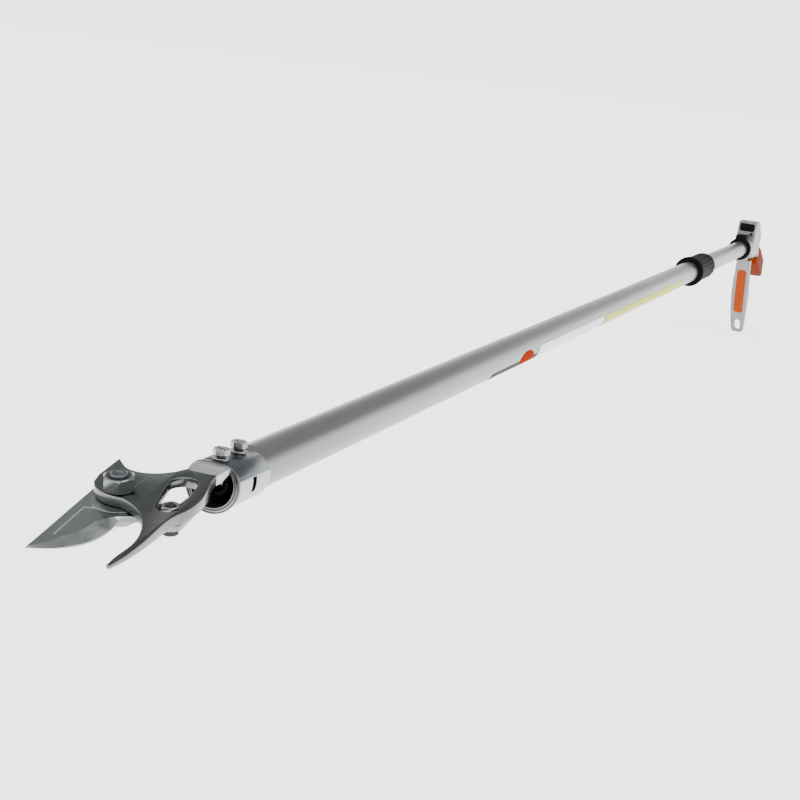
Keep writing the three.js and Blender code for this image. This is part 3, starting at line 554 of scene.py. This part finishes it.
def clamp_sleeve():
    """The bright shell under the saddle, with a slot low on its side that a black strip fills as
    painted shade.
    """
    turns = [180 - SADDLE_EDGE + 208 * i / 104 for i in range(105)]
    stations = [POLE_END - SLEEVE_LENGTH, SLOT_X - SLOT_HALF, SLOT_X + SLOT_HALF, CLAMP_FRONT_X]
    sleeve = Piece()
    sleeve.band(CLAMP_R, CLAMP_R + SLEEVE_T, turns, stations,
                lambda x, a: abs(x - SLOT_X) < SLOT_HALF and SLOT_FROM < a < SLOT_TO)
    sleeve.make("clamp_sleeve_shape", SLEEVE, "head_pole", "clamp_sleeve", sharp=40,
                bevel=0.2)

    # painted shade: a black strip fills the slot in place of the shadow inside it
    slot_shade_strip = Piece()
    slot_shade_strip.band(POLE_R + 0.1, CLAMP_R + SLEEVE_T - 0.3, [340.5 + 31 * i / 16 for i in range(17)],
               [SLOT_X - SLOT_HALF + 0.1, SLOT_X + SLOT_HALF - 0.1])
    slot_shade_strip.make("sleeve_slot_painted_shade", SLOT_SHADE, "head_pole", None, sharp=40)


def sleeve_rivet(place, x):
    rivet = Piece()
    rivet.turn([(0.01, -18.25), (1.6, -18.1), (2.7, -17.6), (3.2, -16.9), (3.1, -16.3),
                (1.5, -16.3), (1.5, -14.4), (0.01, -14.4)], 32, closed=False)
    rivet.make(f"rivet_{place}", ZINC, "head_pole", f"sleeve_rivet_{place}",
               Matrix.Translation((x, 0, 0)))


def clamp_bolt(place, x):
    """A hexagon bolt through the saddle's crown, and its washer; its shank is black as painted shade
    under the head.
    """
    seat = CROWN_Z + 1.7
    bolt = Piece()
    bolt.hex(8.6, seat + 1.2, seat + 5.3, bore=1.9)
    bolt.turn([(0.01, seat + 3.3), (1.9, seat + 3.3), (1.9, seat + 3.2), (0.01, seat + 3.2)], 24,
              closed=False)
    # painted shade: the shank between washer and head is black for the shadow under the head
    bolt.turn([(2.5, 8.9), (2.5, seat + 1.3), (0.01, seat + 1.3), (0.01, 8.9)], 24, look=1)
    bolt.make(f"saddle_bolt_{place}", [ZINC, DARK], "head_pole", f"clamp_bolt_{place}",
              Matrix.Translation((x, 0, 0)) @ Matrix.Rotation(0.3, 4, "Z"))
    washer = Piece()
    washer.turn([(2.9, CROWN_Z + 0.2), (4.8, CROWN_Z + 0.2), (5.0, CROWN_Z + 0.5),
                 (5.0, CROWN_Z + 1.2), (4.7, CROWN_Z + 1.5), (2.9, CROWN_Z + 1.5)], 48)
    washer.make(f"saddle_washer_{place}", ZINC, "head_pole", f"clamp_washer_{place}",
                Matrix.Translation((x, 0, 0)))


def pivot():
    """The blade's nut, threaded bolt and washer; a black ring in the nut's top chamfer is painted
    shade.
    """
    nut = Piece()
    nut.hex(16, 0.3, 8.3, bore=4.9)
    # painted shade: a black ring in the nut's chamfer for the shade in its recess
    nut.turn([(4.95, 8.2), (6.5, 8.2), (6.45, 8.42), (4.95, 8.38)], 64, look=1)
    nut.make("pivot_nut_shape", [ZINC, DARK], "head_pole", "pivot_nut", AT_PIVOT)
    thread = []
    for i in range(9):
        z = 1.0 + i * 0.95
        thread += [(4.8, z), (4.8, z + 0.2), (4.35, z + 0.5), (4.8, z + 0.8)]
    point = [(4.8, 9.3), (4.2, 9.75), (2.6, 9.75), (1.9, 9.2), (0.01, 9.1)]
    bolt = Piece()
    bolt.turn([(0.01, -12), (4.8, -12)] + thread + point, 48, closed=False, look=1)
    bolt.hex(16, -18.3, -12.3)
    bolt.make("pivot_bolt_shape", [ZINC, SADDLE], "head_pole", "pivot_bolt", AT_PIVOT)
    washer = Piece()
    washer.turn([(PIVOT_HOLE_R, -11.95), (9.3, -11.95), (9.5, -11.7), (9.5, -11.0), (9.3, -10.75),
                 (PIVOT_HOLE_R, -10.75)], 64)
    washer.make("pivot_washer_shape", ZINC, "head_pole", "pivot_washer", AT_PIVOT)


hook_plate()
hook_neck()
pole_saddle()
mouth_bead()
clamp_sleeve()
for end, at_x in zip(("front", "rear"), RIVET_X):
    sleeve_rivet(end, at_x)
for end, at_x in zip(("front", "rear"), BOLT_X):
    clamp_bolt(end, at_x)
pivot()


# ---------------------------------------------------------------- blade
def blade_outline():
    """Outline points, and for each how far its ground edge reaches in."""
    edge = spline([(BLADE_TIP_U, -41.5), (117, -29.5), (107, -21.6), (95, -17.4), (83, -16.4),
                   (71.5, -18.2)], 12)
    wide = []
    for i in range(len(edge)):
        t = i / (len(edge) - 1)
        wide.append(0.5 + 9.6 * min(1, t * 3.2) * (1 if t < 0.82 else max(0, (1 - t) / 0.18)) ** 0.7)
    tail = (spline([(71.5, -18.2), (67.5, -11), (64.6, -3), (64, 3.3)])[1:-1]
            + arc(*LINK_PIN, 8, 0, 180)
            + spline([(48, 3.3), (46, -6), (41.5, -18), (39.6, -30), (41.5, -41), (46, -49)])[1:])
    back = [(46 + (BLADE_TIP_U - 46) * k / 20, -49 + 7.5 * k / 20) for k in range(1, 20)]
    return edge + tail + back, wide + [0.4] * (len(tail) + len(back))


def cutting_blade():
    """The blade, with its ground bevel; it thins towards the tip."""
    outline, reach = blade_outline()
    ground = [r > 0.45 for r in reach]
    levels = []
    for share, z_edge, z_side in ((0, BLADE_BOTTOM + 1.3, BLADE_BOTTOM + 0.3),
                                  (0, BLADE_BOTTOM + 1.6, BLADE_FACE - 0.4),
                                  (1, BLADE_FACE, BLADE_FACE)):
        inner = inset(outline, [r * share for r in reach])
        levels.append([(x, y, z_edge if g else z_side) for (x, y), g in zip(inner, ground)])
    under = inset(outline, [0.8 if g else 0.3 for g in ground])
    holes = [circle(*PIVOT, PIVOT_HOLE_R), circle(*LINK_PIN, 3.3)]
    blade = Piece()
    blade.bridge([[(x, y, BLADE_BOTTOM) for x, y in under]] + levels[:2])
    blade.bridge(levels[1:], 1)
    blade.cap([[p[:2] for p in levels[2]]] + holes, BLADE_FACE)
    blade.cap([under] + holes, BLADE_BOTTOM)
    for h in holes:
        blade.bridge([[(x, y, z) for x, y in h] for z in (BLADE_BOTTOM, BLADE_FACE)])

    def thinned(u, v, w):
        share = max(0, (u - BLADE_THINS_U) / (BLADE_TIP_U - BLADE_THINS_U)) ** 1.5
        return (u, v, BLADE_FACE + (w - BLADE_FACE) * (1 - 0.8 * share))

    blade.verts = [thinned(*vert) for vert in blade.verts]
    blade.make("blade_shape", [BLADE, BEVEL], "blade", "cutting_blade", HEAD, sharp=12)


def blade_details():
    """The raised hub, the scribed line, and the bolt and nut that join the link; the line is a raised
    bright strip that paints the groove's highlight.
    """
    hub = Piece()
    hub.slab(circle(*PIVOT, 15, 96), BLADE_FACE, BLADE_TOP, [circle(*PIVOT, PIVOT_HOLE_R)])
    hub.make("blade_hub", BLADE, "blade", None, HEAD)
    path = spline([(104.6, -36.7), (86, -38.7), (71, -40.1), (69, -38.5), (68, -34.5), (67, -30.5)], 6)
    # painted highlight: a thin bright strip along the groove
    line = Piece()
    line.slab(ribbon(path, 0.9), BLADE_FACE - 0.05, BLADE_FACE + 0.12, bevel=0.05)
    line.make("blade_line", HIGHLIGHT_STEEL, "blade", None, HEAD)

    head_top = LINK_TOP - LINK_T - 0.9
    pin = Piece()
    pin.hex(8.6, head_top - 3, head_top)
    pin.turn([(0.01, head_top - 0.5), (LINK_PIN_R, head_top - 0.5), (LINK_PIN_R, -1.4), (2.3, -1.0),
              (0.01, -1.0)], 32, closed=False)
    pin.make("link_bolt_shape", DARK, "blade", "link_bolt", AT_PIN)
    nut = Piece()
    nut.hex(10, BLADE_TOP + 0.3, BLADE_TOP + 4.8, bore=2.9)
    nut.make("link_nut_shape", ZINC, "blade", "link_nut", AT_PIN)


cutting_blade()
blade_details()


# ---------------------------------------------------------------- drive link and its socket
def drive_link():
    """A strap from the front rod's ball to the blade's bolt."""
    pin_point = HEAD @ Vector((*LINK_PIN, LINK_TOP - LINK_T / 2))
    line = pin_point - Vector((BALL_X, 0, 0))
    length = line.length
    line.normalize()
    across = Vector((SIN, 0, COS)).cross(line).normalized()
    place = basis(line, across, line.cross(across), (BALL_X, 0, 0))
    strap = Piece()
    strap.slab(pill(17, 0, 4.5, length, 0, 7.0), -LINK_T / 2, LINK_T / 2,
               [circle(length, 0, LINK_EYE_R)])
    strap.make("drive_link_strap", ZINC, "link", "drive_link", place)
    climb = [-math.pi / 2 + math.pi * 0.82 * i / 20 for i in range(21)]
    ball = Piece()
    ball.turn([(max(0.01, BALL_R * math.cos(a)), BALL_R * math.sin(a)) for a in climb]
              + [(2.4, 20), (0.01, 20)], 40, closed=False)
    ball.make("drive_link_ball", ZINC, "link", None, place @ ALONG_X)


def ball_socket():
    socket = Piece()
    socket.turn([(3.4, 2087), (5.7, 2087), (6.1, 2087.4), (8, 2091), (8, 2104.6), (7.6, 2105.6),
                 (7, 2106.8), (5.2, 2107), (4.75, 2106), (5.5, 2103), (4.9, 2099), (3.4, 2098)], 64)
    socket.make("ball_socket", BLACK, "front_rod", "rod_ball_socket", ALONG_X)


drive_link()
ball_socket()


# ---------------------------------------------------------------- pole
# the tube is open above this angle in degrees, where the crown lies under the saddle
WINDOW = math.degrees(math.asin((CROWN_Z - 2.25) / POLE_R))
RAMP_X = POLE_END - 48  # where the round tube starts to flatten


def outer_tube():
    def gap(x, a):
        in_window = x > RAMP_X and WINDOW < a < 180 - WINDOW
        return in_window or abs(x - SLOT_X) < SLOT_HALF and (a > SLOT_FROM or a < SLOT_TO - 360)

    tube = Piece()
    tube.band(POLE_BORE_R, POLE_R, [2 * i for i in range(181)],
              [POLE_REAR_X, 900, 1300, 1700, RAMP_X, SLOT_X - SLOT_HALF, SLOT_X + SLOT_HALF, POLE_END],
              gap)
    tube.make("outer_tube_shape", POLE, "head_pole", "outer_tube", sharp=40,
              bevel=0.2)


def outer_tube_crown():
    """The strip that eases the round tube down to the flat crown under the saddle."""
    rings = []
    for i in range(13):
        share = i / 12
        ease = share * share * (3 - 2 * share)
        top = []
        for k in range(41):
            a = math.radians(184 - WINDOW + (2 * WINDOW - 188) * k / 40)
            y, z = (POLE_R + 0.02) * math.cos(a), (POLE_R + 0.02) * math.sin(a)
            top.append((y, z + (min(z, CROWN_Z - 0.35) - z) * ease))
        x = RAMP_X - 0.5 + 8.3 * share
        rings.append([(x, y, z) for y, z in top] + [(x, y * 0.94, z - 0.85) for y, z in top[::-1]])
    crown = Piece()
    crown.folded_strip(rings)
    crown.make("outer_tube_crown", POLE, "head_pole", None, sharp=40)


def inner_tube():
    tube = Piece()
    tube.turn([(INNER_BORE_R, INNER_REAR_X), (INNER_R, INNER_REAR_X), (INNER_R, 500), (INNER_R, 1000),
               (INNER_R, INNER_FRONT_X - 0.3), (INNER_R - 0.25, INNER_FRONT_X),
               (INNER_BORE_R, INNER_FRONT_X)], 160)
    tube.make("inner_tube_shape", POLE, "handle", "inner_tube", ALONG_X, sharp=40)


def sticker(name, look, x0, x1, low, high):
    """A plain film round part of the pole, between two X stations and two angles in degrees."""
    turns = [low + (high - low) * i / 24 for i in range(25)]
    film = Piece()
    film.band(POLE_R + 0.12, POLE_R + 0.3, turns, [x0, (x0 + x1) / 2, x1])
    film.make(f"sticker_{name}", look, "head_pole", f"label_{name}", sharp=40)


def red_spot():
    spot_x, half_length = 1507, 21
    spot_angle, half_angle = -22, 30
    spot = Piece()
    spot.band(POLE_R + 0.3, POLE_R + 0.42, [spot_angle - half_angle + 2 * i for i in range(31)],
              [spot_x - half_length + i for i in range(43)],
              lambda x, a: ((x - spot_x) / half_length) ** 2 + ((a - spot_angle) / half_angle) ** 2 > 1)
    spot.make("sticker_red_spot", RED_FILM, "head_pole", None, sharp=40)


def lock_collar():
    """The sleeve fixed to the outer tube, and the ribbed nut behind it."""
    sleeve = Piece()
    sleeve.turn([(14.35, POLE_REAR_X), (16, POLE_REAR_X), (16, 604.4), (16.9, 604.4), (17.2, 604.8),
                 (17.2, 610), (20.2, 611.8), (20.6, 612.6), (20.6, 618), (20.3, 619), (19.2, 620),
                 (15.2, 620), (14.35, 619.6)], 128)
    sleeve.make("collar_sleeve_shape", BLACK, "head_pole", "collar_sleeve", ALONG_X)
    nut = Piece()
    nut.turn([(13.25, 500), (16.2, 500), (16.8, 500.4), (17.6, 502), (18.3, 504, 0), (18.6, 507, 0),
              (18.6, 510, 0.75), (18.6, 592, 0.75), (18.6, 596, 0), (18.5, 600), (17.8, 603.4),
              (17.2, 604), (16.4, 604), (16.4, 503.5), (13.25, 503.5)], 240, ribs=20)
    nut.make("collar_nut_shape", BLACK, "collar_nut", "collar_nut", ALONG_X, sharp=38)


outer_tube()
outer_tube_crown()
inner_tube()
sticker("dark", DARK_FILM, 1469, 1612, -56, -22)
sticker("white", WHITE_FILM, 1206, 1467, -68, 6)
sticker("yellow", YELLOW_FILM, 736, 1195, -68, 4)
red_spot()
lock_collar()


# ---------------------------------------------------------------- handle and plain parts
refined("handle_body_left", "body_left", CAST, "handle", 0.45)
refined("handle_body_right", "body_right", CAST, "handle", 0.45)
refined("body_end_cap", "end_cap", BLACK, "handle", 0.6)
refined("front_cap", "front_cap_shape", BLACK, "handle", 0.8)
refined("socket_ring", "socket_ring_shape", BLACK, "handle", 0.4)
refined("rear_grip", "rear_grip_shape", GRIP, "handle", 0.8, 35)
refined("lever_frame", "lever_frame_shape", CAST, "lever", 0.5)
refined("lever_pad", "lever_pad_shape", ORANGE, "lever", 0.7)

# CAD nodes whose shapes are kept
KEPT_LOOKS = {
    "clamp_block": ZINC, "front_drive_rod": ZINC, "rear_drive_rod": PLAIN_ALU, "rod_gripper": ZINC,
    "front_rod_guide": NYLON, "rear_rod_guide": NYLON, "inner_tube_bush": NYLON, "split_collet": NYLON,
    "body_screw_1": DARK, "body_screw_2": DARK, "cap_screw": DARK, "ring_screw": DARK,
    "lever_pivot_pin": ZINC, "lever_spring": DARK, "rod_clevis": ZINC, "clevis_pin": ZINC,
}
for kept_node, kept_look in KEPT_LOOKS.items():
    kept_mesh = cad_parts[kept_node].data
    kept_mesh.materials.clear()
    kept_mesh.materials.append(kept_look)


# ---------------------------------------------------------------- floor, light and camera
def pale_floor():
    """A wide floor that glows enough to meet the horizon without an edge."""
    floor_z = cad_box[0].z - 0.0005
    bpy.ops.mesh.primitive_circle_add(vertices=128, radius=40, fill_type="NGON",
                                      location=(1, 0, floor_z))
    floor = bpy.context.object
    floor.name = "floor"
    look = finish("pale_floor", (0.80, 0.80, 0.80), 0.0, 0.6, 0.004, 1.5, (60, 60, 60), 0.02, 0.02)
    glow = next(n for n in look.node_tree.nodes if n.type == "BSDF_PRINCIPLED")
    glow.inputs["Emission Color"].default_value = (1, 1, 1, 1)
    glow.inputs["Emission Strength"].default_value = 2.1
    floor.data.materials.append(look)


def studio_world():
    """A bright horizon under a darker dome, so that metal shows light and dark bands."""
    world = bpy.data.worlds.new("studio")
    bpy.context.scene.world = world
    world.use_nodes = True
    tree = world.node_tree
    tree.nodes.clear()
    where = tree.nodes.new("ShaderNodeTexCoord")
    split = tree.nodes.new("ShaderNodeSeparateXYZ")
    ramp = tree.nodes.new("ShaderNodeValToRGB")
    back = tree.nodes.new("ShaderNodeBackground")
    out = tree.nodes.new("ShaderNodeOutputWorld")
    tree.links.new(where.outputs["Generated"], split.inputs[0])
    tree.links.new(split.outputs["Z"], ramp.inputs["Fac"])
    tree.links.new(ramp.outputs["Color"], back.inputs["Color"])
    tree.links.new(back.outputs[0], out.inputs[0])
    stops = ramp.color_ramp.elements
    stops[0].position, stops[0].color = 0.0, (1.0, 1.0, 1.0, 1)
    stops[1].position, stops[1].color = 1.0, (0.30, 0.30, 0.31, 1)
    for height, color in ((0.11, (0.95, 0.95, 0.96, 1)), (0.26, (0.14, 0.14, 0.145, 1))):
        stop = stops.new(height)
        stop.color = color
    back.inputs["Strength"].default_value = 3.2


def sun_light(name, source, power, softness):
    data = bpy.data.lights.new(name, "SUN")
    data.energy = power
    data.angle = math.radians(softness)
    lamp = bpy.data.objects.new(name, data)
    bpy.context.scene.collection.objects.link(lamp)
    lamp.rotation_euler = Vector(source).to_track_quat("Z", "Y").to_euler()


def photo_camera():
    camera = bpy.data.objects.new("camera", bpy.data.cameras.new("camera"))
    bpy.context.scene.collection.objects.link(camera)
    bpy.context.scene.camera = camera
    camera.data.lens = 73.8
    camera.data.sensor_width = 36
    camera.data.clip_start = 0.01
    camera.data.clip_end = 200
    right = Vector((-0.3401, 0.9330, 0.1181)).normalized()
    backward = Vector((0.9281, 0.3127, 0.2022))
    backward = (backward - right * backward.dot(right)).normalized()
    up = backward.cross(right)
    camera.matrix_world = basis(right, up, backward, (2.9136, 0.3730, 0.2418))


pale_floor()
studio_world()
sun_light("key", (0.35, 0.75, 0.75), 2.2, 60)
sun_light("fill", (0.3, -0.7, 1.0), 1.4, 80)
photo_camera()
